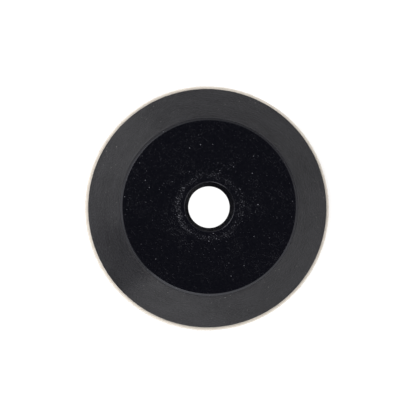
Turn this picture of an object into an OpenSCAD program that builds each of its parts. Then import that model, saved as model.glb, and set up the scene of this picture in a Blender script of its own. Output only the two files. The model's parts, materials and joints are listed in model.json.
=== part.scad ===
// Soft-backed felt polishing wheel, lying on its working face with the hub up.
// All sizes are in millimetres. Z is the arbor axis, and Z = 0 is the felt's working face.
// From the floor up: felt face, glue film, rubber cushion, glue film, hub plate.

/* [Felt face] */
// Diameter over the felt
felt_d = 153.2; // [152:0.1:170]
// Thickness of the felt
felt_t = 6.4; // [3:0.1:12]
// Rounding of the felt's outer edge, top and bottom
felt_edge_r = 1.1; // [0.4:0.1:1.4]

/* [Rubber cushion] */
// Diameter of the cushion where it carries the felt
cushion_front_d = 149.1; // [140:0.1:150]
// Diameter of the cushion's back rim, round the hub plate
cushion_back_d = 110.2; // [109.6:0.1:116]
// Height of the sloping side
cushion_slope_h = 21; // [18:0.1:26]
// Height of the upright edge between the felt and the sloping side
cushion_edge_h = 1.6; // [1:0.1:4]

/* [Hub plate] */
// Diameter over the hub plate
plate_d = 108.4; // [100:0.1:109]
// Thickness of the hub plate
plate_t = 8; // [6.5:0.1:11]
// Width and height of the bevel round the hub plate's back face
plate_bevel = 1.4; // [0.5:0.1:2]
// Width and height of the bevel round the hub plate's front face
plate_front_bevel = 0.5; // [0.2:0.1:1]
// Height of the hub plate's face above the cushion's back rim
plate_proud = 1.5; // [0.3:0.1:2]
// Diameter of the boss on the hub plate's front, which the arbor's washer bears on
boss_d = 50; // [36:0.1:50]
// Height of the boss
boss_h = 1.5; // [0.5:0.1:3]

/* [Arbor bore] */
// Diameter of the bore, a clearance fit on a one inch shaft
bore_d = 25.5; // [25.45:0.01:25.8]
// Diameter of the bore's tapered mouth at the back face
mouth_d = 30.2; // [27:0.1:32]
// Depth of the tapered mouth
mouth_depth = 5; // [1:0.1:5.5]
// Width and depth of the chamfer at the front end of the bore
bore_chamfer = 0.6; // [0.2:0.1:1]

/* [Nut recess] */
// Diameter of the recess for the arbor nut and its washer
recess_d = 54; // [51:0.1:60]
// How much wider the hole in the felt is than the recess
felt_hole_extra = 1; // [0:0.1:4]

/* [Glue] */
// Thickness of the film under the hub plate, and of the film on the felt
glue_t = 0.3; // [0.1:0.1:0.5]
// Thickness of the film round the hub plate's edge
edge_glue_t = 0.15; // [0.1:0.05:0.3]

/* [Hidden] */
$fn = 180;
eps = 0.01;

// Levels above the working face
felt_glue_z = felt_t;
cushion_z = felt_glue_z + glue_t;
slope_z = cushion_z + cushion_edge_h;
cushion_top_z = slope_z + cushion_slope_h;
plate_top_z = cushion_top_z + plate_proud;
plate_z = plate_top_z - plate_t;
boss_z = plate_z - boss_h;
seat_z = plate_z - glue_t;

// Radii
felt_r = felt_d / 2;
felt_hole_r = (recess_d + felt_hole_extra) / 2;
cushion_front_r = cushion_front_d / 2;
cushion_back_r = cushion_back_d / 2;
plate_r = plate_d / 2;
seat_r = plate_r + edge_glue_t;
bore_r = bore_d / 2;
mouth_r = mouth_d / 2;
boss_r = boss_d / 2;
recess_r = recess_d / 2;

// The glue round the hub plate's edge stops this far below the cushion's back rim
joint_depth = 0.2;
// The felt's glue film stops this far inside the cushion's edge
glue_inset = 0.4;

// Half section of a disc from the axis out, standing on Y = 0, with both outer corners rounded.
module rounded_disc_section(r, thickness, corner_r) {
    square([r - corner_r, thickness]);
    translate([0, corner_r])
        square([r, thickness - 2 * corner_r]);
    for (y = [corner_r, thickness - corner_r])
        translate([r - corner_r, y])
            circle(corner_r);
}

// Disc standing on Z = 0, with a bevel round each face.
module bevelled_disc(r, height, low_bevel, high_bevel) {
    cylinder(r1 = r - low_bevel, r2 = r, h = low_bevel);
    translate([0, 0, low_bevel])
        cylinder(r = r, h = height - low_bevel - high_bevel);
    translate([0, 0, height - high_bevel])
        cylinder(r1 = r, r2 = r - high_bevel, h = high_bevel);
}

// Flat ring standing on Z = 0.
module flat_ring(outer_r, inner_r, height) {
    difference() {
        cylinder(r = outer_r, h = height);
        translate([0, 0, -eps])
            cylinder(r = inner_r, h = height + 2 * eps);
    }
}

// Moulded plastic disc that the arbor's flanges clamp, with a boss in front and the bore through both.
module hub_plate() {
    color("#16161a")
        difference() {
            union() {
                translate([0, 0, plate_z])
                    bevelled_disc(plate_r, plate_t, plate_front_bevel, plate_bevel);
                translate([0, 0, boss_z])
                    cylinder(r = boss_r, h = boss_h + plate_t / 2);
            }
            translate([0, 0, boss_z - eps])
                cylinder(r = bore_r, h = plate_top_z - boss_z + 2 * eps);
            translate([0, 0, plate_top_z - mouth_depth])
                cylinder(r1 = bore_r, r2 = mouth_r, h = mouth_depth);
            translate([0, 0, boss_z])
                cylinder(r1 = bore_r + bore_chamfer, r2 = bore_r, h = bore_chamfer);
        }
}

// Film of glue under the hub plate and round its edge.
module plate_glue() {
    rim_h = cushion_top_z - joint_depth - plate_z;
    color("#2a2a2c") {
        translate([0, 0, seat_z])
            flat_ring(seat_r, recess_r, glue_t);
        translate([0, 0, plate_z])
            flat_ring(seat_r, plate_r, rim_h);
    }
}

// Cone of soft rubber between the hub plate and the felt, with the plate's seat and the nut recess.
module rubber_cushion() {
    color("#3c3c3e")
        difference() {
            translate([0, 0, cushion_z]) {
                cylinder(r = cushion_front_r, h = cushion_edge_h);
                translate([0, 0, cushion_edge_h])
                    cylinder(r1 = cushion_front_r, r2 = cushion_back_r, h = cushion_slope_h);
            }
            translate([0, 0, seat_z])
                cylinder(r = seat_r, h = plate_t + 2 * glue_t);
            translate([0, 0, cushion_z - eps])
                cylinder(r = recess_r, h = seat_z - cushion_z + 2 * eps);
        }
}

// Film of glue between the cushion and the felt.
module felt_glue() {
    color("#6b665e")
        translate([0, 0, felt_glue_z])
            flat_ring(cushion_front_r - glue_inset, felt_hole_r, glue_t);
}

// Wool felt disc whose lower face does the polishing.
module felt_face() {
    color("#ded6ca")
        difference() {
            rotate_extrude()
                rounded_disc_section(felt_r, felt_t, felt_edge_r);
            translate([0, 0, -eps])
                cylinder(r = felt_hole_r, h = felt_t + 2 * eps);
        }
}

hub_plate();
plate_glue();
rubber_cushion();
felt_glue();
felt_face();
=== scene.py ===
"""Studio scene of a soft-backed felt polishing wheel that lies on its felt with the hub plate up.

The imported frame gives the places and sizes. Each piece of the wheel is turned from its own section, dressed
in its own finish, and stands for the plain solid of the same name.
"""

import json
import logging
import math
import random
from collections.abc import Callable
from dataclasses import dataclass, field
from enum import Enum

import bmesh
import bpy
from mathutils import Matrix, Quaternion, Vector


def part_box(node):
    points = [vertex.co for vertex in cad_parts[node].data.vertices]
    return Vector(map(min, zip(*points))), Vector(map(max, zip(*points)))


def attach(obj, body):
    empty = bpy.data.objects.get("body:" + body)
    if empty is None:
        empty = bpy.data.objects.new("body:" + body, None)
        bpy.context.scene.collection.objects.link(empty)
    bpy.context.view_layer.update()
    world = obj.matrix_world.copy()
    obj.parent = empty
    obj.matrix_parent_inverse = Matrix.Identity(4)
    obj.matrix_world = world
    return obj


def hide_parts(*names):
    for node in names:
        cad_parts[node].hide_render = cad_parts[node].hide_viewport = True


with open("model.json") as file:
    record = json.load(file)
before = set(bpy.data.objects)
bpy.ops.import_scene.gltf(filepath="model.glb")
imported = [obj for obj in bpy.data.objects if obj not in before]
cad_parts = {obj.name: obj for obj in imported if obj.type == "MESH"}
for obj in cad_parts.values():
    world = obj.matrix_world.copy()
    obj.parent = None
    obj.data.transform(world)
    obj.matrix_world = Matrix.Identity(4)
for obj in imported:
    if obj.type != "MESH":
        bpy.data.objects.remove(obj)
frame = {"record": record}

LOG = logging.getLogger("felt_wheel")

MM = 0.001
FULL_TURN = 2 * math.pi

Point = tuple[float, float]
Colour = tuple[float, float, float]


class Part(Enum):
    """The wheel's pieces, by the names of the solids that they stand for."""

    HUB_PLATE = "hub_plate"
    PLATE_GLUE = "plate_glue"
    CUSHION = "rubber_cushion"
    FELT_GLUE = "felt_glue"
    FELT = "felt_face"


class Slot(Enum):
    """The record's material slots."""

    HUB = "hub_plastic"
    PLATE_GLUE = "plate_glue"
    RUBBER = "cushion_rubber"
    FELT_GLUE = "felt_glue"
    FELT = "wool_felt"


# ----------------------------------------------------------------------------------------------------
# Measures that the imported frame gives
# ----------------------------------------------------------------------------------------------------


@dataclass(frozen=True)
class Span:
    """Outer radius and height range of one round solid, in millimetres."""

    radius: float
    low: float
    high: float


def span_of(part: Part) -> Span:
    """Read a round solid's outer radius and height range.

    Args:
        part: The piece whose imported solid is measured.

    Returns:
        The solid's span in millimetres.
    """
    low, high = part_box(part.value)
    return Span((high[0] - low[0]) / 2 / MM, low[2] / MM, high[2] / MM)


def bore_radius() -> float:
    """Radius of the arbor bore in millimetres, from the record's mount."""
    mounts = {mount["name"]: mount for mount in frame["record"]["mounts"]}
    return float(mounts["arbor_bore"]["dims"]["r_mm"])


# ----------------------------------------------------------------------------------------------------
# Turned meshes
# ----------------------------------------------------------------------------------------------------


@dataclass(frozen=True)
class Corner:
    """A corner of a turned section: its radius and height, and how far it is rounded, in millimetres."""

    r: float
    z: float
    rounding: float = 0.0


@dataclass(frozen=True)
class Section:
    """A closed section in the half plane through the axis, as corners in order round the outline."""

    corners: tuple[Corner, ...]
    step: float = 4.0
    arc_step: float = math.radians(9)
    guard: float = 0.25

    def _arc(self, before: Corner, corner: Corner, after: Corner) -> list[Point]:
        """Round one corner.

        Args:
            before: The corner before it.
            corner: The corner to round.
            after: The corner after it.

        Returns:
            The points that replace the corner, in order.
        """
        here = Vector((corner.r, corner.z))
        back = Vector((before.r, before.z)) - here
        ahead = Vector((after.r, after.z)) - here
        if corner.rounding <= 0:
            return [(here.x, here.y)]
        half = back.angle(ahead) / 2
        reach = min(corner.rounding / math.tan(half), 0.48 * back.length, 0.48 * ahead.length)
        radius = reach * math.tan(half)
        middle = here + (back.normalized() + ahead.normalized()).normalized() * (radius / math.sin(half))
        first = here + back.normalized() * reach - middle
        last = here + ahead.normalized() * reach - middle
        turn = math.pi - 2 * half
        steps = max(2, math.ceil(turn / self.arc_step))
        points = []
        for i in range(steps + 1):
            share = i / steps
            spoke = (first * math.sin((1 - share) * turn) + last * math.sin(share * turn)) / math.sin(turn)
            points.append(tuple(middle + spoke))
        return points

    def outline(self) -> list[Point]:
        """Work out the section's points.

        Returns:
            Points round the outline, with arcs at rounded corners and extra points along the straight runs.
        """
        count = len(self.corners)
        arcs = [
            self._arc(self.corners[i - 1], self.corners[i], self.corners[(i + 1) % count])
            for i in range(count)
        ]
        points: list[Point] = []
        for i, arc in enumerate(arcs):
            points += arc
            start, end = Vector(arc[-1]), Vector(arcs[(i + 1) % count][0])
            run = (end - start).length
            if run < 4 * self.guard:
                continue
            pieces = max(1, math.ceil((run - 2 * self.guard) / self.step))
            stops = [self.guard + (run - 2 * self.guard) * k / pieces for k in range(pieces + 1)]
            points += [tuple(start.lerp(end, stop / run)) for stop in stops]
        return points


@dataclass(frozen=True)
class Ripple:
    """Small unevenness of a turned surface, in millimetres: a few waves round the axis."""

    size: float
    waves: tuple[int, ...]
    seed: int

    def maker(self) -> Callable[[float], float]:
        """Build the ripple.

        Returns:
            A function from the angle round the axis to the offset in millimetres.
        """
        chance = random.Random(self.seed)
        terms = [(wave, chance.uniform(0.4, 1.0), chance.uniform(0, FULL_TURN)) for wave in self.waves]
        total = sum(weight for _, weight, _ in terms) or 1.0

        def offset(angle: float) -> float:
            """Offset at one angle, in millimetres."""
            return self.size * sum(w * math.sin(n * angle + p) for n, w, p in terms) / total

        return offset


NO_RIPPLE = Ripple(0.0, (), 0)


def everywhere(r: float, z: float) -> float:
    """The share of a ripple that every point takes when nothing else is said."""
    return 1.0


def turned_piece(
    name: str,
    section: Section,
    segments: int,
    radial: Ripple = NO_RIPPLE,
    upright: Ripple = NO_RIPPLE,
    moved: Callable[[float, float], float] = everywhere,
) -> bpy.types.Object:
    """Turn a section about the Z axis into a closed mesh.

    Args:
        name: The new object's name.
        section: The section to turn.
        segments: How many steps go round the axis.
        radial: Unevenness of the radius.
        upright: Unevenness of the height.
        moved: Share of the unevenness that a point at a radius and height takes, from 0 to 1.

    Returns:
        The new object, linked to the scene.
    """
    outline = section.outline()
    out, up = radial.maker(), upright.maker()
    mesh = bmesh.new()
    rings = []
    for k in range(segments):
        angle = FULL_TURN * k / segments
        ring = []
        for r, z in outline:
            share = moved(r, z)
            radius = r + out(angle) * share
            height = z + up(angle) * share
            ring.append(
                mesh.verts.new((radius * math.cos(angle) * MM, radius * math.sin(angle) * MM, height * MM))
            )
        rings.append(ring)
    count = len(outline)
    for k in range(segments):
        near, far = rings[k], rings[(k + 1) % segments]
        for j in range(count):
            following = (j + 1) % count
            mesh.faces.new((near[j], near[following], far[following], far[j]))
    bmesh.ops.recalc_face_normals(mesh, faces=mesh.faces)
    for face in mesh.faces:
        face.smooth = True
    data = bpy.data.meshes.new(name)
    mesh.to_mesh(data)
    mesh.free()
    piece = bpy.data.objects.new(name, data)
    bpy.context.scene.collection.objects.link(piece)
    return piece


# ----------------------------------------------------------------------------------------------------
# Node graphs
# ----------------------------------------------------------------------------------------------------

Value = bpy.types.NodeSocket | float | tuple[float, ...]


class Graph:
    """The node tree of one material, with a short call for each kind of node that the finishes use."""

    def __init__(self, name: str) -> None:
        """Start an empty material of this name."""
        self.material = bpy.data.materials.new(name)
        self.material.use_nodes = True
        self.tree = self.material.node_tree
        self.tree.nodes.clear()

    def node(self, kind: str, **settings: object) -> bpy.types.Node:
        """Add a node of a kind, with its settings."""
        made = self.tree.nodes.new(kind)
        for key, value in settings.items():
            setattr(made, key, value)
        return made

    def feed(self, socket: bpy.types.NodeSocket, value: Value) -> None:
        """Link a socket to another, or set its constant."""
        if isinstance(value, bpy.types.NodeSocket):
            self.tree.links.new(value, socket)
        else:
            socket.default_value = value

    def math(self, operation: str, *values: Value) -> bpy.types.NodeSocket:
        """Work out one number from others."""
        made = self.node("ShaderNodeMath", operation=operation)
        for socket, value in zip(made.inputs, values, strict=False):
            self.feed(socket, value)
        return made.outputs[0]

    def product(self, first: Value, *others: Value) -> bpy.types.NodeSocket:
        """Multiply two or more numbers."""
        total = first
        for value in others:
            total = self.math("MULTIPLY", total, value)
        return total

    def largest(self, first: Value, *others: Value) -> bpy.types.NodeSocket:
        """Keep the largest of two or more numbers."""
        total = first
        for value in others:
            total = self.math("MAXIMUM", total, value)
        return total

    def fade(
        self, value: Value, start: float, end: float, low: Value = 0.0, high: Value = 1.0
    ) -> bpy.types.NodeSocket:
        """Run smoothly from low to high as a value goes from start to end, where end may be below start.

        Args:
            value: The value that is followed.
            start: Where the result is still low.
            end: Where the result is high.
            low: The result at start.
            high: The result at end.

        Returns:
            The result's socket.
        """
        made = self.node("ShaderNodeMapRange", interpolation_type="SMOOTHSTEP")
        if start <= end:
            settings = (value, start, end, low, high)
        else:
            settings = (value, end, start, high, low)
        for socket, setting in zip(made.inputs, settings, strict=False):
            self.feed(socket, setting)
        return made.outputs[0]

    def place(self) -> bpy.types.NodeSocket:
        """The surface point in millimetres, in the wheel's own frame."""
        point = self.node("ShaderNodeTexCoord").outputs["Object"]
        made = self.node("ShaderNodeVectorMath", operation="SCALE")
        self.feed(made.inputs[0], point)
        made.inputs["Scale"].default_value = 1 / MM
        return made.outputs[0]

    def split(self, vector: Value) -> tuple[bpy.types.NodeSocket, ...]:
        """The three numbers of a vector."""
        made = self.node("ShaderNodeSeparateXYZ")
        self.feed(made.inputs[0], vector)
        return tuple(made.outputs)

    def join(self, x: Value, y: Value, z: Value = 0.0) -> bpy.types.NodeSocket:
        """A vector from three numbers."""
        made = self.node("ShaderNodeCombineXYZ")
        for socket, value in zip(made.inputs, (x, y, z), strict=True):
            self.feed(socket, value)
        return made.outputs[0]

    def shift(self, vector: Value, offset: Value) -> bpy.types.NodeSocket:
        """The sum of two vectors."""
        made = self.node("ShaderNodeVectorMath", operation="ADD")
        self.feed(made.inputs[0], vector)
        self.feed(made.inputs[1], offset)
        return made.outputs[0]

    def noise(
        self, vector: Value, scale: float, detail: float = 2.0, rough: float = 0.5, warp: float = 0.0
    ) -> bpy.types.NodeSocket:
        """Cloudy noise from 0 to 1.

        Args:
            vector: Where the noise is read.
            scale: Lumps per unit of the vector.
            detail: How many finer layers are added.
            rough: How strong each finer layer is.
            warp: How far the noise bends itself.

        Returns:
            The noise's socket.
        """
        made = self.node("ShaderNodeTexNoise", noise_dimensions="3D")
        self.feed(made.inputs["Vector"], vector)
        made.inputs["Scale"].default_value = scale
        made.inputs["Detail"].default_value = detail
        made.inputs["Roughness"].default_value = rough
        made.inputs["Distortion"].default_value = warp
        return made.outputs[0]

    def cells(self, vector: Value, flat: bool = False) -> tuple[bpy.types.NodeSocket, bpy.types.NodeSocket]:
        """Scattered points, one in each unit cell.

        Args:
            vector: Where the pattern is read.
            flat: Whether the third number is ignored.

        Returns:
            The distance to the nearest point, and a random colour for that point.
        """
        made = self.node("ShaderNodeTexVoronoi", voronoi_dimensions="2D" if flat else "3D", feature="F1")
        self.feed(made.inputs["Vector"], vector)
        made.inputs["Scale"].default_value = 1.0
        # The pattern's own colour follows the point's place in its cell, so it is shuffled
        shuffled = self.node("ShaderNodeTexWhiteNoise", noise_dimensions="3D")
        self.feed(shuffled.inputs["Vector"], made.outputs["Color"])
        return made.outputs["Distance"], shuffled.outputs["Color"]

    def blend(self, share: Value, first: Value, second: Value) -> bpy.types.NodeSocket:
        """A colour between two others."""
        made = self.node("ShaderNodeMix", data_type="RGBA")
        self.feed(made.inputs[0], share)
        self.feed(made.inputs[6], first)
        self.feed(made.inputs[7], second)
        return made.outputs[2]

    def bump(
        self, height: Value, depth_mm: float, strength: float = 1.0, under: Value | None = None
    ) -> bpy.types.NodeSocket:
        """A normal that follows a height.

        Args:
            height: The height, from 0 to 1.
            depth_mm: What a height of 1 stands for, in millimetres.
            strength: How much of the tilt is kept.
            under: A normal that this one is laid over.

        Returns:
            The normal's socket.
        """
        made = self.node("ShaderNodeBump")
        made.inputs["Strength"].default_value = strength
        made.inputs["Distance"].default_value = depth_mm * MM
        self.feed(made.inputs["Height"], height)
        if under is not None:
            self.feed(made.inputs["Normal"], under)
        return made.outputs[0]

    def specks(
        self, place: Value, cell: float, radius: float, share: Value, flat: bool = False
    ) -> bpy.types.NodeSocket:
        """Round specks of uneven size and brightness, most of them faint.

        Args:
            place: The surface point in millimetres.
            cell: How far apart the places are where a speck may be, in millimetres.
            radius: The largest speck's radius in millimetres.
            share: How many of the places hold one, from 0 to 1.
            flat: Whether the height is ignored, so that the specks all lie in the face.

        Returns:
            The specks' mask, from 0 to 1.
        """
        scaled = self.node("ShaderNodeVectorMath", operation="SCALE")
        self.feed(scaled.inputs[0], place)
        scaled.inputs["Scale"].default_value = 1 / cell
        distance, colour = self.cells(scaled.outputs[0], flat)
        chance, light, size = self.split(colour)
        chosen = self.math("LESS_THAN", chance, share)
        spread = self.math("MULTIPLY", distance, self.fade(size, 0.0, 1.0, 1.0, 2.2))
        spot = self.fade(spread, radius / cell, 0.35 * radius / cell)
        bright = self.math("ADD", self.product(light, light, light, 0.85), 0.15)
        return self.product(chosen, spot, bright)

    def hairlines(
        self, along: Value, across: Value, length: float, width: float, share: Value
    ) -> bpy.types.NodeSocket:
        """Short fine lines that taper at both ends.

        Args:
            along: Distance along the lines in millimetres.
            across: Distance across the lines in millimetres.
            length: A line's length in millimetres.
            width: A line's width in millimetres.
            share: How many of the places hold a line, from 0 to 1.

        Returns:
            The lines' mask, from 0 to 1.
        """
        reach = 0.22
        vector = self.join(
            self.math("DIVIDE", along, length / (2 * reach)),
            self.math("DIVIDE", across, width / (2 * reach)),
        )
        distance, colour = self.cells(vector, flat=True)
        chance, light, _ = self.split(colour)
        chosen = self.math("LESS_THAN", chance, share)
        bright = self.math("ADD", self.product(light, light, 0.8), 0.2)
        return self.product(chosen, self.fade(distance, reach, 0.0), bright)

    def shader(self, **inputs: Value) -> bpy.types.Node:
        """Add the surface shader and join it to the output.

        Args:
            **inputs: The shader's inputs by name, with underscores for spaces.

        Returns:
            The shader's node.
        """
        made = self.node("ShaderNodeBsdfPrincipled")
        for name, value in inputs.items():
            self.feed(made.inputs[name.replace("_", " ")], value)
        output = self.node("ShaderNodeOutputMaterial")
        self.tree.links.new(made.outputs[0], output.inputs["Surface"])
        return made


def rgba(colour: Colour) -> tuple[float, float, float, float]:
    """A colour with full alpha."""
    return (*colour, 1.0)


# ----------------------------------------------------------------------------------------------------
# Finishes
# ----------------------------------------------------------------------------------------------------


@dataclass(frozen=True)
class ScuffedPlastic:
    """Glossy black moulded plastic with dust, hairline scratches and a ring worn by the arbor's flange."""

    black: Colour = (0.0009, 0.0010, 0.0028)
    scuffed: Colour = (0.24, 0.24, 0.27)
    tint: Colour = (0.89, 0.90, 1.0)
    wear_radius: float = 19.1
    wear_inside: float = 2.7
    wear_outside: float = 3.2
    worn_side: float = math.radians(188)
    scratch_width: float = 0.14
    scratch_runs: tuple[Point, ...] = ((17, 1.6), (52, 1.0), (94, 1.2), (128, 1.4), (155, 2.1))
    polish: float = 0.16
    dull: float = 0.55

    def _wear(self, g: Graph, x: Value, y: Value, radius: Value, place: Value) -> bpy.types.NodeSocket:
        """Where the flange has rubbed: a narrow ring, stronger on one side and patchy.

        Args:
            g: The material's graph.
            x: Surface point's X in millimetres.
            y: Surface point's Y in millimetres.
            radius: Distance from the axis in millimetres.
            place: The surface point in millimetres.

        Returns:
            The ring's mask, from 0 to 1.
        """
        rise = g.fade(radius, self.wear_radius - self.wear_inside, self.wear_radius)
        fall = g.fade(radius, self.wear_radius + self.wear_outside, self.wear_radius)
        c, s = math.cos(self.worn_side), math.sin(self.worn_side)
        towards = g.math("DIVIDE", g.math("ADD", g.product(x, c), g.product(y, s)), radius)
        side = g.fade(towards, 0.55, 0.97, 0.55, 1.0)
        patches = g.fade(g.noise(place, 0.30, 3.0), 0.32, 0.62, 0.45, 1.0)
        return g.product(rise, fall, side, patches)

    def _share(
        self, g: Graph, wear: Value, worn: float, crowd: Value, crowded: float, least: float
    ) -> bpy.types.NodeSocket:
        """How many places hold a mark.

        Args:
            g: The material's graph.
            wear: Where the flange has rubbed, from 0 to 1.
            worn: How many more places hold one there.
            crowd: Where stray marks crowd together, from 0 to 1.
            crowded: How many more places hold one there.
            least: How many places hold one anywhere.

        Returns:
            The share's socket, from 0 to 1.
        """
        return g.math("ADD", g.math("ADD", g.product(wear, worn), g.product(crowd, crowded)), least)

    def _scratches(
        self, g: Graph, x: Value, y: Value, radius: Value, place: Value, wear: Value, crowd: Value
    ) -> bpy.types.NodeSocket:
        """Fine scratches: round the axis where the flange turned, and in several slightly bent directions.

        Args:
            g: The material's graph.
            x: Surface point's X in millimetres.
            y: Surface point's Y in millimetres.
            radius: Distance from the axis in millimetres.
            place: The surface point in millimetres.
            wear: Where the flange has rubbed, from 0 to 1.
            crowd: Where stray marks crowd together, from 0 to 1.

        Returns:
            The scratches' mask, from 0 to 1.
        """
        turn = g.product(g.math("ARCTAN2", y, x), self.wear_radius)
        bend = g.product(g.noise(place, 0.25, 1.0), 1.4)
        share = self._share(g, wear, 0.12, crowd, 0.09, 0.03)
        mask = g.hairlines(turn, g.math("ADD", radius, bend), 1.3, 0.15, share)
        for degrees, length in self.scratch_runs:
            c, s = math.cos(math.radians(degrees)), math.sin(math.radians(degrees))
            along = g.math("ADD", g.product(x, c), g.product(y, s))
            across = g.math("ADD", g.math("ADD", g.product(x, -s), g.product(y, c)), bend)
            mask = g.largest(mask, g.hairlines(along, across, length, self.scratch_width, share))
        slant = g.math("ADD", x, g.product(y, -0.8))
        rise = g.math("ADD", y, g.product(x, 0.8))
        long_line = g.hairlines(slant, rise, 7.0, 0.22, g.product(crowd, 0.07))
        return g.largest(mask, g.product(long_line, 0.8))

    def material(self) -> bpy.types.Material:
        """Build the finish.

        Returns:
            The material.
        """
        g = Graph("scuffed_plastic")
        place = g.place()
        x, y, _ = g.split(place)
        radius = g.math("SQRT", g.math("ADD", g.product(x, x), g.product(y, y)))
        wear = self._wear(g, x, y, radius, place)
        near = g.fade(radius, 38.0, 18.0)
        crowd = g.fade(g.noise(place, 0.08, 2.0, 0.6), 0.44, 0.64)
        dust = g.largest(
            g.specks(place, 0.50, 0.17, self._share(g, wear, 0.26, crowd, 0.10, 0.02), flat=True),
            g.specks(place, 0.95, 0.25, self._share(g, wear, 0.46, crowd, 0.07, 0.02), flat=True),
            g.specks(place, 1.7, 0.29, self._share(g, wear, 0.36, crowd, 0.08, 0.03), flat=True),
        )
        scratches = self._scratches(g, x, y, radius, place, wear, crowd)
        strength = g.math("ADD", g.math("ADD", g.product(wear, 1.05), g.product(near, 0.16)), 0.22)
        fine = g.product(g.largest(dust, scratches), strength)
        grit = g.largest(
            g.specks(place, 4.6, 0.42, 0.20, flat=True),
            g.specks(place, 1.1, 0.30, g.product(wear, 0.20), flat=True),
        )
        haze = g.product(wear, g.noise(place, 1.7, 3.0, 0.7), 0.035)
        clouds = g.fade(g.noise(place, 0.9, 4.0, 0.7), 0.35, 0.75, 0.0, 0.012)
        marks = g.math("MINIMUM", g.math("ADD", g.math("ADD", g.largest(fine, grit), haze), clouds), 1.0)
        normal = g.bump(g.noise(place, 0.35, 2.0), 0.010)
        normal = g.bump(marks, 0.02, 0.5, normal)
        g.shader(
            Base_Color=g.blend(marks, rgba(self.black), rgba(self.scuffed)),
            Roughness=g.fade(marks, 0.0, 0.6, self.polish, self.dull),
            Specular_IOR_Level=0.5,
            Specular_Tint=rgba(self.tint),
            Normal=normal,
        )
        return g.material


@dataclass(frozen=True)
class TurnedRubber:
    """Dull dark rubber, ground true on a lathe, so that it has a fine grain round the axis."""

    dark: Colour = (0.0050, 0.0048, 0.0070)
    pale: Colour = (0.0225, 0.0221, 0.0258)
    speck: Colour = (0.36, 0.355, 0.34)
    # Paler colour for the flat lip: a painted highlight that lifts the shade beside the plate's raised rim
    lip_painted_light: Colour = (0.034, 0.0335, 0.037)
    lip_radius: float = 55.0
    roughness: float = 0.32
    grain: float = 1.0
    shine: float = 0.28

    def material(self) -> bpy.types.Material:
        """Build the finish.

        Returns:
            The material.
        """
        g = Graph("turned_rubber")
        place = g.place()
        x, y, z = g.split(place)
        radius = g.math("SQRT", g.math("ADD", g.product(x, x), g.product(y, y)))
        turn = g.math("ARCTAN2", y, x)
        rings = g.join(g.product(radius, 2.6), g.product(turn, 2.2), g.product(z, 2.6))
        lathe = g.noise(rings, 1.0, 4.0, 0.6)
        pores = g.noise(place, 3.2, 3.0, 0.65)
        clouds = g.noise(place, 0.07, 3.0, 0.55)
        mottle = g.noise(place, 0.95, 2.0, 0.6)
        even = g.math("ADD", g.product(lathe, 0.25), g.product(clouds, 0.2))
        tone = g.math("ADD", even, g.math("ADD", g.product(pores, 0.2), g.product(mottle, 0.35)))
        colour = g.blend(g.fade(tone, 0.38, 0.60), rgba(self.dark), rgba(self.pale))
        crowd = g.fade(g.noise(place, 0.045, 1.0), 0.47, 0.66)
        dust = g.largest(
            g.specks(place, 1.6, 0.40, g.math("ADD", g.product(crowd, 0.40), 0.04)),
            g.specks(place, 0.8, 0.22, g.math("ADD", g.product(crowd, 0.14), 0.05)),
        )
        # The flat lip inside lip_radius gets the paler colour, a painted highlight laid over the shade beside
        # the plate's raised rim
        on_painted_light_lip = g.fade(radius, self.lip_radius + 0.15, self.lip_radius - 0.10)
        colour = g.blend(on_painted_light_lip, colour, rgba(self.lip_painted_light))
        colour = g.blend(g.product(dust, 0.8), colour, rgba(self.speck))
        normal = g.bump(mottle, 0.30, 0.8)
        normal = g.bump(pores, 0.05, 0.6, normal)
        normal = g.bump(lathe, 0.03, 0.5, normal)
        tangent = g.node("ShaderNodeTangent", direction_type="RADIAL", axis="Z")
        g.shader(
            Base_Color=colour,
            Roughness=self.roughness,
            Specular_IOR_Level=self.shine,
            Anisotropic=self.grain,
            Anisotropic_Rotation=0.25,
            Tangent=tangent.outputs[0],
            Normal=normal,
        )
        return g.material


@dataclass(frozen=True)
class WoolFelt:
    """Dense pressed wool, cream coloured, with matted fibres; the colour is painted darker where the fibres
    lie low, as painted shade between them, on top of the felt's own uneven tone.
    """

    pale: Colour = (0.80, 0.74, 0.66)
    # Darker cream for the low places: the felt's own tone together with painted shade between fibres
    deep_tone_and_shade: Colour = (0.68, 0.615, 0.535)
    sheen: float = 0.25

    def material(self) -> bpy.types.Material:
        """Build the finish.

        Returns:
            The material.
        """
        g = Graph("wool_felt")
        place = g.place()
        drift = g.node("ShaderNodeVectorMath", operation="SCALE")
        swirl = g.node("ShaderNodeTexNoise")
        g.feed(swirl.inputs["Vector"], place)
        swirl.inputs["Scale"].default_value = 0.5
        g.feed(drift.inputs[0], swirl.outputs["Color"])
        drift.inputs["Scale"].default_value = 2.4
        bent = g.shift(place, drift.outputs[0])
        fibres = g.noise(bent, 2.4, 6.0, 0.72, 1.2)
        x, y, z = g.split(bent)
        layers = g.join(g.product(x, 0.5), g.product(y, 0.5), g.product(z, 5.0))
        strands = g.noise(layers, 1.0, 4.0, 0.65, 0.8)
        lumps = g.noise(place, 0.35, 3.0)
        coarse = g.math("ADD", g.product(strands, 0.3), g.product(lumps, 0.2))
        height = g.math("ADD", g.product(fibres, 0.5), coarse)
        # Darker where the fibre height is low: painted shade between fibres, mixed with the felt's own uneven
        # tone
        colour = g.blend(g.fade(height, 0.36, 0.60), rgba(self.deep_tone_and_shade), rgba(self.pale))
        g.shader(
            Base_Color=colour,
            Roughness=0.95,
            Specular_IOR_Level=0.2,
            Sheen_Weight=self.sheen,
            Sheen_Roughness=0.6,
            Normal=g.bump(height, 0.25, 0.6),
        )
        return g.material


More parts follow.
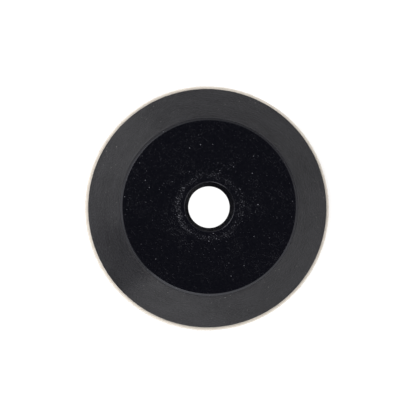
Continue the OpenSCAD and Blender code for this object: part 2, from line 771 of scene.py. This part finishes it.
@dataclass(frozen=True)
class DriedGlue:
    """Contact glue that has dried dull, lumpy and a little darker where it is thick."""

    name: str
    thin: Colour
    thick: Colour

    def material(self) -> bpy.types.Material:
        """Build the finish.

        Returns:
            The material.
        """
        g = Graph(self.name)
        place = g.place()
        lumps = g.noise(place, 1.1, 4.0, 0.6, 0.5)
        g.shader(
            Base_Color=g.blend(g.fade(lumps, 0.35, 0.65), rgba(self.thick), rgba(self.thin)),
            Roughness=g.fade(lumps, 0.3, 0.7, 0.45, 0.7),
            Normal=g.bump(lumps, 0.12),
        )
        return g.material


# ----------------------------------------------------------------------------------------------------
# Pieces of the wheel
# ----------------------------------------------------------------------------------------------------


def fit_out(
    piece: bpy.types.Object, material: bpy.types.Material, part: Part | None = None
) -> None:
    """Dress a piece and tie it to the frame.

    Args:
        piece: The piece.
        material: Its finish.
        part: The solid that the piece stands for, if there is one.
    """
    piece.data.materials.append(material)
    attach(piece, "root")
    if part is not None:
        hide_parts(part.value)


@dataclass
class HubPlate:
    """The moulded plate that the arbor's flanges clamp, with a boss in front and a tapered mouth behind."""

    span: Span
    bore_r: float
    mouth_r: float = 15.1
    mouth_depth: float = 5.0
    mouth_round: float = 0.6
    bevel: float = 1.4
    bevel_round: float = 0.35
    front_bevel: float = 0.5
    boss_r: float = 25.0
    boss_h: float = 1.5
    bore_chamfer: float = 0.6
    finish: ScuffedPlastic = field(default_factory=ScuffedPlastic)

    @property
    def low(self) -> float:
        """Height of the plate's front face, behind its boss."""
        return self.span.low + self.boss_h

    def section(self) -> Section:
        """Lay out the plate's section.

        Returns:
            The section, from the bore's mouth outwards.
        """
        r, top, low = self.span.radius, self.span.high, self.low
        return Section(
            (
                Corner(self.mouth_r, top, self.mouth_round),
                Corner(r - self.bevel, top, self.bevel_round),
                Corner(r, top - self.bevel, 0.1),
                Corner(r, low + self.front_bevel, 0.1),
                Corner(r - self.front_bevel, low, 0.1),
                Corner(self.boss_r, low, 0.3),
                Corner(self.boss_r, self.span.low, 0.4),
                Corner(self.bore_r + self.bore_chamfer, self.span.low, 0.15),
                Corner(self.bore_r, self.span.low + self.bore_chamfer, 0.15),
                Corner(self.bore_r, top - self.mouth_depth, 0.2),
            )
        )

    def build(self) -> bpy.types.Object:
        """Turn the plate and dress it.

        Returns:
            The finished piece.
        """
        piece = turned_piece("hub_plate_moulding", self.section(), 288)
        fit_out(piece, self.finish.material(), Part.HUB_PLATE)
        return piece


@dataclass
class Cushion:
    """The rubber cone that carries the felt, with the plate's seat behind and the nut recess in front."""

    span: Span
    seat_r: float
    seat_z: float
    back_r: float = 55.1
    back_round: float = 0.75
    edge_h: float = 1.6
    edge_round: float = 0.3
    recess_r: float = 27.0
    finish: TurnedRubber = field(default_factory=TurnedRubber)

    def section(self) -> Section:
        """Lay out the cushion's section.

        Returns:
            The section, from the seat's mouth outwards.
        """
        low, top = self.span.low, self.span.high
        return Section(
            (
                Corner(self.seat_r, top, 0.1),
                Corner(self.back_r, top, self.back_round),
                Corner(self.span.radius, low + self.edge_h, self.edge_round),
                Corner(self.span.radius, low, 0.25),
                Corner(self.recess_r, low, 0.3),
                Corner(self.recess_r, self.seat_z, 0.2),
                Corner(self.seat_r, self.seat_z, 0.2),
            ),
            step=2.5,
        )

    def build(self) -> bpy.types.Object:
        """Turn the cushion and dress it.

        Returns:
            The finished piece.
        """
        outer = self.span.radius

        def share(r: float, z: float) -> float:
            """The outer skin moves most, and the seat not at all."""
            return max(0.0, min(1.0, (r - self.back_r) / (outer - self.back_r)))

        piece = turned_piece(
            "rubber_cushion_cone",
            self.section(),
            360,
            radial=Ripple(0.05, (2, 3, 5, 9, 14), 11),
            moved=share,
        )
        fit_out(piece, self.finish.material(), Part.CUSHION)
        return piece


@dataclass
class GlueFilms:
    """The two glue films: under and round the hub plate, and between the cushion and the felt."""

    plate_span: Span
    felt_span: Span
    plate_r: float
    plate_z: float
    recess_r: float = 27.0
    felt_hole_r: float = 27.5
    plate_finish: DriedGlue = DriedGlue("plate_glue_film", (0.060, 0.059, 0.062), (0.036, 0.036, 0.038))
    felt_finish: DriedGlue = DriedGlue("felt_glue_film", (0.110, 0.094, 0.074), (0.040, 0.034, 0.028))

    def build_plate_film(self) -> bpy.types.Object:
        """Turn the film in the plate's seat, whose top edge is a slightly uneven bead.

        Returns:
            The finished piece.
        """
        span = self.plate_span
        section = Section(
            (
                Corner(self.plate_r, span.high, 0.06),
                Corner(span.radius, span.high, 0.06),
                Corner(span.radius, span.low),
                Corner(self.recess_r, span.low, 0.1),
                Corner(self.recess_r, self.plate_z, 0.1),
                Corner(self.plate_r, self.plate_z),
            )
        )

        def share(r: float, z: float) -> float:
            """Only the bead's top is uneven."""
            return 1.0 if z > span.high - 0.5 else 0.0

        piece = turned_piece(
            "plate_glue_film", section, 240, upright=Ripple(0.22, (3, 7, 11, 19, 31), 5), moved=share
        )
        fit_out(piece, self.plate_finish.material(), Part.PLATE_GLUE)
        return piece

    def build_felt_film(self) -> bpy.types.Object:
        """Turn the film under the cushion, whose outer edge has squeezed out unevenly.

        Returns:
            The finished piece.
        """
        span = self.felt_span
        section = Section(
            (
                Corner(self.felt_hole_r, span.high, 0.05),
                Corner(span.radius, span.high, 0.08),
                Corner(span.radius, span.low, 0.08),
                Corner(self.felt_hole_r, span.low, 0.05),
            ),
            step=12.0,
        )

        def share(r: float, z: float) -> float:
            """Only the outer edge is uneven."""
            return 1.0 if r > span.radius - 1.0 else 0.0

        piece = turned_piece(
            "felt_glue_film", section, 360, radial=Ripple(0.28, (5, 9, 16, 27, 43, 61), 8), moved=share
        )
        fit_out(piece, self.felt_finish.material(), Part.FELT_GLUE)
        return piece


@dataclass
class FeltFace:
    """The wool felt disc and the loose fibres that stand out of its edge."""

    span: Span
    hole_r: float = 27.5
    edge_round: float = 1.1
    hole_round: float = 0.6
    uneven: float = 0.09
    fibres: int = 1500
    finish: WoolFelt = field(default_factory=WoolFelt)

    def section(self) -> Section:
        """Lay out the disc's section.

        Returns:
            The section, from the hole's upper edge outwards.
        """
        return Section(
            (
                Corner(self.hole_r, self.span.high, self.hole_round),
                Corner(self.span.radius - self.uneven, self.span.high, self.edge_round),
                Corner(self.span.radius - self.uneven, self.span.low, self.edge_round),
                Corner(self.hole_r, self.span.low, self.hole_round),
            ),
            step=1.6,
        )

    def build_disc(self) -> bpy.types.Object:
        """Turn the disc with its slightly uneven rim.

        Returns:
            The finished piece.
        """

        def share(r: float, z: float) -> float:
            """The rim is uneven, and the faces are flat."""
            return max(0.0, min(1.0, (r - self.span.radius + 3.0) / 2.0))

        piece = turned_piece(
            "felt_disc",
            self.section(),
            480,
            radial=Ripple(self.uneven, (3, 8, 17, 29, 53, 83, 127), 21),
            moved=share,
        )
        fit_out(piece, self.finish.material(), Part.FELT)
        return piece

    def _fibre(self, chance: random.Random) -> list[Vector]:
        """Lay one loose fibre along the rim.

        Args:
            chance: The seeded source of random numbers.

        Returns:
            The fibre's points in millimetres.
        """
        radius, thick = self.span.radius - self.uneven, self.span.high - self.span.low
        around = chance.uniform(0, FULL_TURN)
        # Distance along the rim's section, from its lower edge up the side and onto the upper face
        climb = chance.uniform(0.6, thick + 0.8)
        heading = chance.uniform(0, FULL_TURN)
        curl = chance.uniform(-0.5, 0.5)
        length = chance.uniform(1.2, 3.6)
        lift = chance.uniform(0.05, 0.42)
        steps = 6
        points = []
        for i in range(steps + 1):
            share = i / steps
            heading += curl / steps
            around += math.cos(heading) * length / steps / radius
            climb += math.sin(heading) * length / steps
            climb = max(0.5, min(thick + 1.2, climb))
            stand = lift * math.sin(math.pi * (0.15 + 0.75 * share))
            if climb <= thick - 0.6:
                r, z = radius - 0.04 + stand, self.span.low + climb
            else:
                over = climb - (thick - 0.6)
                bend = min(1.0, over / 1.2) * math.pi / 2
                r = radius - self.edge_round + (self.edge_round - 0.04 + stand) * math.cos(bend)
                z = self.span.high - self.edge_round + (self.edge_round - 0.04 + stand) * math.sin(bend)
            points.append(Vector((r * math.cos(around), r * math.sin(around), z)))
        return points

    def build_fuzz(self) -> bpy.types.Object:
        """Make the loose fibres, as closed three-sided threads in one piece.

        Returns:
            The finished piece.
        """
        chance = random.Random(303)
        mesh = bmesh.new()
        for _ in range(self.fibres):
            points = self._fibre(chance)
            thick = chance.uniform(0.014, 0.028)
            rings = []
            for i, point in enumerate(points):
                ahead = points[min(i + 1, len(points) - 1)] - points[max(i - 1, 0)]
                side = ahead.orthogonal().normalized()
                up = ahead.normalized().cross(side)
                reach = thick * (0.35 + 0.65 * math.sin(math.pi * (i + 0.5) / len(points)))
                ring = []
                for k in range(3):
                    spoke = side * math.cos(FULL_TURN * k / 3) + up * math.sin(FULL_TURN * k / 3)
                    ring.append(mesh.verts.new((point + spoke * reach) * MM))
                rings.append(ring)
            for near, far in zip(rings[:-1], rings[1:], strict=True):
                for k in range(3):
                    mesh.faces.new((near[k], near[(k + 1) % 3], far[(k + 1) % 3], far[k]))
            mesh.faces.new(rings[0][::-1])
            mesh.faces.new(rings[-1])
        bmesh.ops.recalc_face_normals(mesh, faces=mesh.faces)
        for face in mesh.faces:
            face.smooth = True
        data = bpy.data.meshes.new("felt_fuzz")
        mesh.to_mesh(data)
        mesh.free()
        piece = bpy.data.objects.new("felt_fuzz", data)
        bpy.context.scene.collection.objects.link(piece)
        fit_out(piece, bpy.data.materials["wool_felt"])
        return piece


# ----------------------------------------------------------------------------------------------------
# Studio
# ----------------------------------------------------------------------------------------------------


@dataclass(frozen=True)
class Softbox:
    """A square area light that faces the wheel."""

    name: str
    towards: float
    elevation: float
    distance: float
    side: float
    watts: float
    tint: Colour = (1.0, 1.0, 1.0)

    def build(self, target: Vector) -> None:
        """Hang the light round a target, towards degrees round from +X and elevation degrees up."""
        round_, up = math.radians(self.towards), math.radians(self.elevation)
        away = Vector((math.cos(round_) * math.cos(up), math.sin(round_) * math.cos(up), math.sin(up)))
        data = bpy.data.lights.new(self.name, "AREA")
        data.shape = "SQUARE"
        data.size = self.side
        data.energy = self.watts
        data.color = self.tint
        light = bpy.data.objects.new(self.name, data)
        light.location = target + away * self.distance
        light.rotation_mode = "QUATERNION"
        light.rotation_quaternion = away.to_track_quat("Z", "Y")
        bpy.context.scene.collection.objects.link(light)


@dataclass(frozen=True)
class GlossCard:
    """An upright curved card that only shows in the wheel's reflections, as a strip light or a black flag.

    Its two upright edges may fade out over some degrees.
    """

    name: str
    radius: float
    low: float
    high: float
    start: float
    end: float
    glow: float
    swing: float = 0.0
    brightest: float = 0.0
    start_fade: float = 0.0
    end_fade: float = 0.0

    def build(self) -> None:
        """Stand the card round the wheel, from one angle to the other."""
        steps = max(2, math.ceil(abs(self.end - self.start) / 3))
        mesh = bmesh.new()
        columns = []
        for i in range(steps + 1):
            angle = math.radians(self.start + (self.end - self.start) * i / steps)
            x, y = self.radius * math.cos(angle), self.radius * math.sin(angle)
            columns.append((mesh.verts.new((x, y, self.low)), mesh.verts.new((x, y, self.high))))
        for near, far in zip(columns[:-1], columns[1:], strict=True):
            mesh.faces.new((near[0], far[0], far[1], near[1]))
        data = bpy.data.meshes.new(self.name)
        mesh.to_mesh(data)
        mesh.free()
        card = bpy.data.objects.new(self.name, data)
        bpy.context.scene.collection.objects.link(card)
        card.visible_camera = False
        card.visible_diffuse = False
        card.visible_shadow = False
        g = Graph(self.name)
        x, y, _ = g.split(g.place())
        turn = g.math("ARCTAN2", y, x)
        off = g.math("COSINE", g.math("SUBTRACT", turn, math.radians(self.brightest)))
        glow = g.node("ShaderNodeEmission")
        g.feed(glow.inputs["Strength"], g.math("ADD", g.product(off, self.swing), self.glow))
        output = g.node("ShaderNodeOutputMaterial")
        if self.start_fade <= 0 or self.end_fade <= 0:
            g.tree.links.new(glow.outputs[0], output.inputs["Surface"])
        else:
            start, end = math.radians(self.start), math.radians(self.end)
            solid = g.product(
                g.fade(turn, start, start + math.radians(self.start_fade)),
                g.fade(turn, end, end - math.radians(self.end_fade)),
            )
            mix = g.node("ShaderNodeMixShader")
            g.feed(mix.inputs[0], solid)
            g.tree.links.new(g.node("ShaderNodeBsdfTransparent").outputs[0], mix.inputs[1])
            g.tree.links.new(glow.outputs[0], mix.inputs[2])
            g.tree.links.new(mix.outputs[0], output.inputs["Surface"])
        data.materials.append(g.material)


@dataclass(frozen=True)
class LightPane:
    """A glowing disc on the floor below the bore, which shows through it and leaves its wall dark."""

    name: str = "bore_pane"
    radius: float = 17.0
    height: float = 0.2
    glow: float = 1.05

    def build(self) -> None:
        """Lay the pane."""
        mesh = bmesh.new()
        bmesh.ops.create_circle(mesh, cap_ends=True, segments=96, radius=self.radius * MM)
        data = bpy.data.meshes.new(self.name)
        mesh.to_mesh(data)
        mesh.free()
        pane = bpy.data.objects.new(self.name, data)
        pane.location.z = self.height * MM
        bpy.context.scene.collection.objects.link(pane)
        pane.visible_glossy = False
        pane.visible_diffuse = False
        pane.visible_shadow = False
        g = Graph(self.name)
        glow = g.node("ShaderNodeEmission")
        glow.inputs["Strength"].default_value = self.glow
        output = g.node("ShaderNodeOutputMaterial")
        g.tree.links.new(glow.outputs[0], output.inputs["Surface"])
        data.materials.append(g.material)


@dataclass
class Studio:
    """Pale floor, soft lights, pale walls all round and a dark ceiling."""

    floor_radius: float = 3.0
    floor_colour: Colour = (0.45, 0.45, 0.45)
    floor_glow: float = 0.62
    covered_radius: float = 75.5
    wall: float = 1.15
    wall_lean: float = 0.20
    paler_side: Point = (-0.87, -0.50)
    ceiling: float = 0.065
    ceiling_edge: Point = (0.80, 0.965)
    pane: LightPane = LightPane()
    softboxes: tuple[Softbox, ...] = (
        Softbox("key_softbox", 138.0, 45.0, 1.1, 0.55, 4.2),
        Softbox("low_softbox", -110.0, 45.0, 1.2, 0.55, 3.4),
        Softbox("fill_softbox", -15.0, 52.0, 1.3, 0.60, 1.8),
    )
    cards: tuple[GlossCard, ...] = (
        GlossCard("strip_card", 0.19, 0.0, 0.10, -180.0, 180.0, 0.84, 0.50, -122.0),
        GlossCard("low_flag", 0.12, 0.0, 0.024, -179.0, -127.0, 0.0, 0.6, -222.0, 16.0, 8.0),
        GlossCard("high_flag", 0.12, 0.030, 0.17, -179.0, -127.0, 0.0, 0.6, -222.0, 16.0, 8.0),
    )

    def build_floor(self) -> None:
        """Lay the floor, which glows round the wheel as a light table does."""
        mesh = bmesh.new()
        bmesh.ops.create_circle(mesh, cap_ends=True, segments=128, radius=self.floor_radius)
        data = bpy.data.meshes.new("floor")
        mesh.to_mesh(data)
        mesh.free()
        floor = bpy.data.objects.new("floor", data)
        floor.location.z = -0.05 * MM
        bpy.context.scene.collection.objects.link(floor)
        g = Graph("pale_floor")
        x, y, _ = g.split(g.place())
        radius = g.math("SQRT", g.math("ADD", g.product(x, x), g.product(y, y)))
        glow = g.fade(radius, self.covered_radius - 0.5, self.covered_radius, 0.0, self.floor_glow)
        g.shader(
            Base_Color=rgba(self.floor_colour),
            Roughness=0.9,
            Specular_IOR_Level=0.0,
            Emission_Color=(1.0, 1.0, 1.0, 1.0),
            Emission_Strength=glow,
        )
        data.materials.append(g.material)

    def build_world(self) -> None:
        """Set the surroundings: pale towards the horizon, a little paler on one side, and dark overhead."""
        world = bpy.data.worlds.new("studio")
        world.use_nodes = True
        tree = world.node_tree
        tree.nodes.clear()
        way = tree.nodes.new("ShaderNodeTexCoord").outputs["Generated"]
        parts = tree.nodes.new("ShaderNodeSeparateXYZ")
        tree.links.new(way, parts.inputs[0])
        lean = tree.nodes.new("ShaderNodeVectorMath")
        lean.operation = "DOT_PRODUCT"
        tree.links.new(way, lean.inputs[0])
        lean.inputs[1].default_value = Vector((*self.paler_side, 0.0)) * self.wall_lean
        wall = tree.nodes.new("ShaderNodeMath")
        tree.links.new(lean.outputs["Value"], wall.inputs[0])
        wall.inputs[1].default_value = self.wall
        rise = tree.nodes.new("ShaderNodeMapRange")
        rise.interpolation_type = "SMOOTHSTEP"
        tree.links.new(parts.outputs["Z"], rise.inputs[0])
        rise.inputs[1].default_value, rise.inputs[2].default_value = self.ceiling_edge
        tree.links.new(wall.outputs[0], rise.inputs[3])
        rise.inputs[4].default_value = self.ceiling
        background = tree.nodes.new("ShaderNodeBackground")
        tree.links.new(rise.outputs[0], background.inputs["Strength"])
        output = tree.nodes.new("ShaderNodeOutputWorld")
        tree.links.new(background.outputs[0], output.inputs["Surface"])
        bpy.context.scene.world = world

    def build(self, target: Vector) -> None:
        """Set up the whole studio round a target."""
        self.build_floor()
        self.build_world()
        self.pane.build()
        for softbox in self.softboxes:
            softbox.build(target)
        for card in self.cards:
            card.build()


@dataclass(frozen=True)
class Viewpoint:
    """The camera: nearly straight above the hub, a little towards -X and -Y."""

    distance: float = 750.0
    tilt: float = 3.22
    towards: float = -147.0
    sensor: float = 36.0
    lens: float = 106.979
    aim_x: float = -0.91
    aim_y: float = -0.75

    def build(self, hub: Vector) -> None:
        """Place the camera.

        Args:
            hub: Centre of the hub plate's back face, in metres.
        """
        tilt, round_ = math.radians(self.tilt), math.radians(self.towards)
        level = math.sin(tilt)
        away = Vector((math.cos(round_) * level, math.sin(round_) * level, math.cos(tilt)))
        data = bpy.data.cameras.new("camera")
        data.sensor_width = self.sensor
        data.lens = self.lens
        data.dof.use_dof = False
        camera = bpy.data.objects.new("camera", data)
        camera.location = hub + away * self.distance * MM
        aim = hub + Vector((self.aim_x, self.aim_y, 0.0)) * MM
        back = (camera.location - aim).normalized()
        right = Vector((0.0, 1.0, 0.0)).cross(back).normalized()
        up = back.cross(right)
        camera.rotation_mode = "QUATERNION"
        camera.rotation_quaternion = _axes_to_turn(right, up, back)
        bpy.context.scene.collection.objects.link(camera)
        bpy.context.scene.camera = camera


def _axes_to_turn(right: Vector, up: Vector, back: Vector) -> Quaternion:
    """The rotation whose axes are these three directions."""
    return Matrix((right, up, back)).transposed().to_quaternion()


# ----------------------------------------------------------------------------------------------------
# Assembly
# ----------------------------------------------------------------------------------------------------


def report(piece: bpy.types.Object) -> None:
    """Log a piece's size."""
    sizes = [side / MM for side in piece.dimensions]
    LOG.info("%s: %d vertices, %.1f x %.1f x %.1f mm", piece.name, len(piece.data.vertices), *sizes)


def main() -> None:
    """Build the wheel and its studio, and note each piece's size."""
    logging.basicConfig(level=logging.INFO, format="%(name)s: %(message)s")
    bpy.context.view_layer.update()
    bpy.context.scene.view_settings.view_transform = "Standard"

    plate = HubPlate(span_of(Part.HUB_PLATE), bore_radius())
    plate_film, felt_film = span_of(Part.PLATE_GLUE), span_of(Part.FELT_GLUE)
    cushion = Cushion(span_of(Part.CUSHION), seat_r=plate_film.radius, seat_z=plate_film.low)
    films = GlueFilms(plate_film, felt_film, plate_r=plate.span.radius, plate_z=plate.low)
    felt = FeltFace(span_of(Part.FELT))
    for build in (
        plate.build,
        films.build_plate_film,
        cushion.build,
        films.build_felt_film,
        felt.build_disc,
        felt.build_fuzz,
    ):
        report(build())

    hub = Vector((0.0, 0.0, plate.span.high * MM))
    Studio().build(hub)
    Viewpoint().build(hub)


if __name__ == "__main__":
    main()
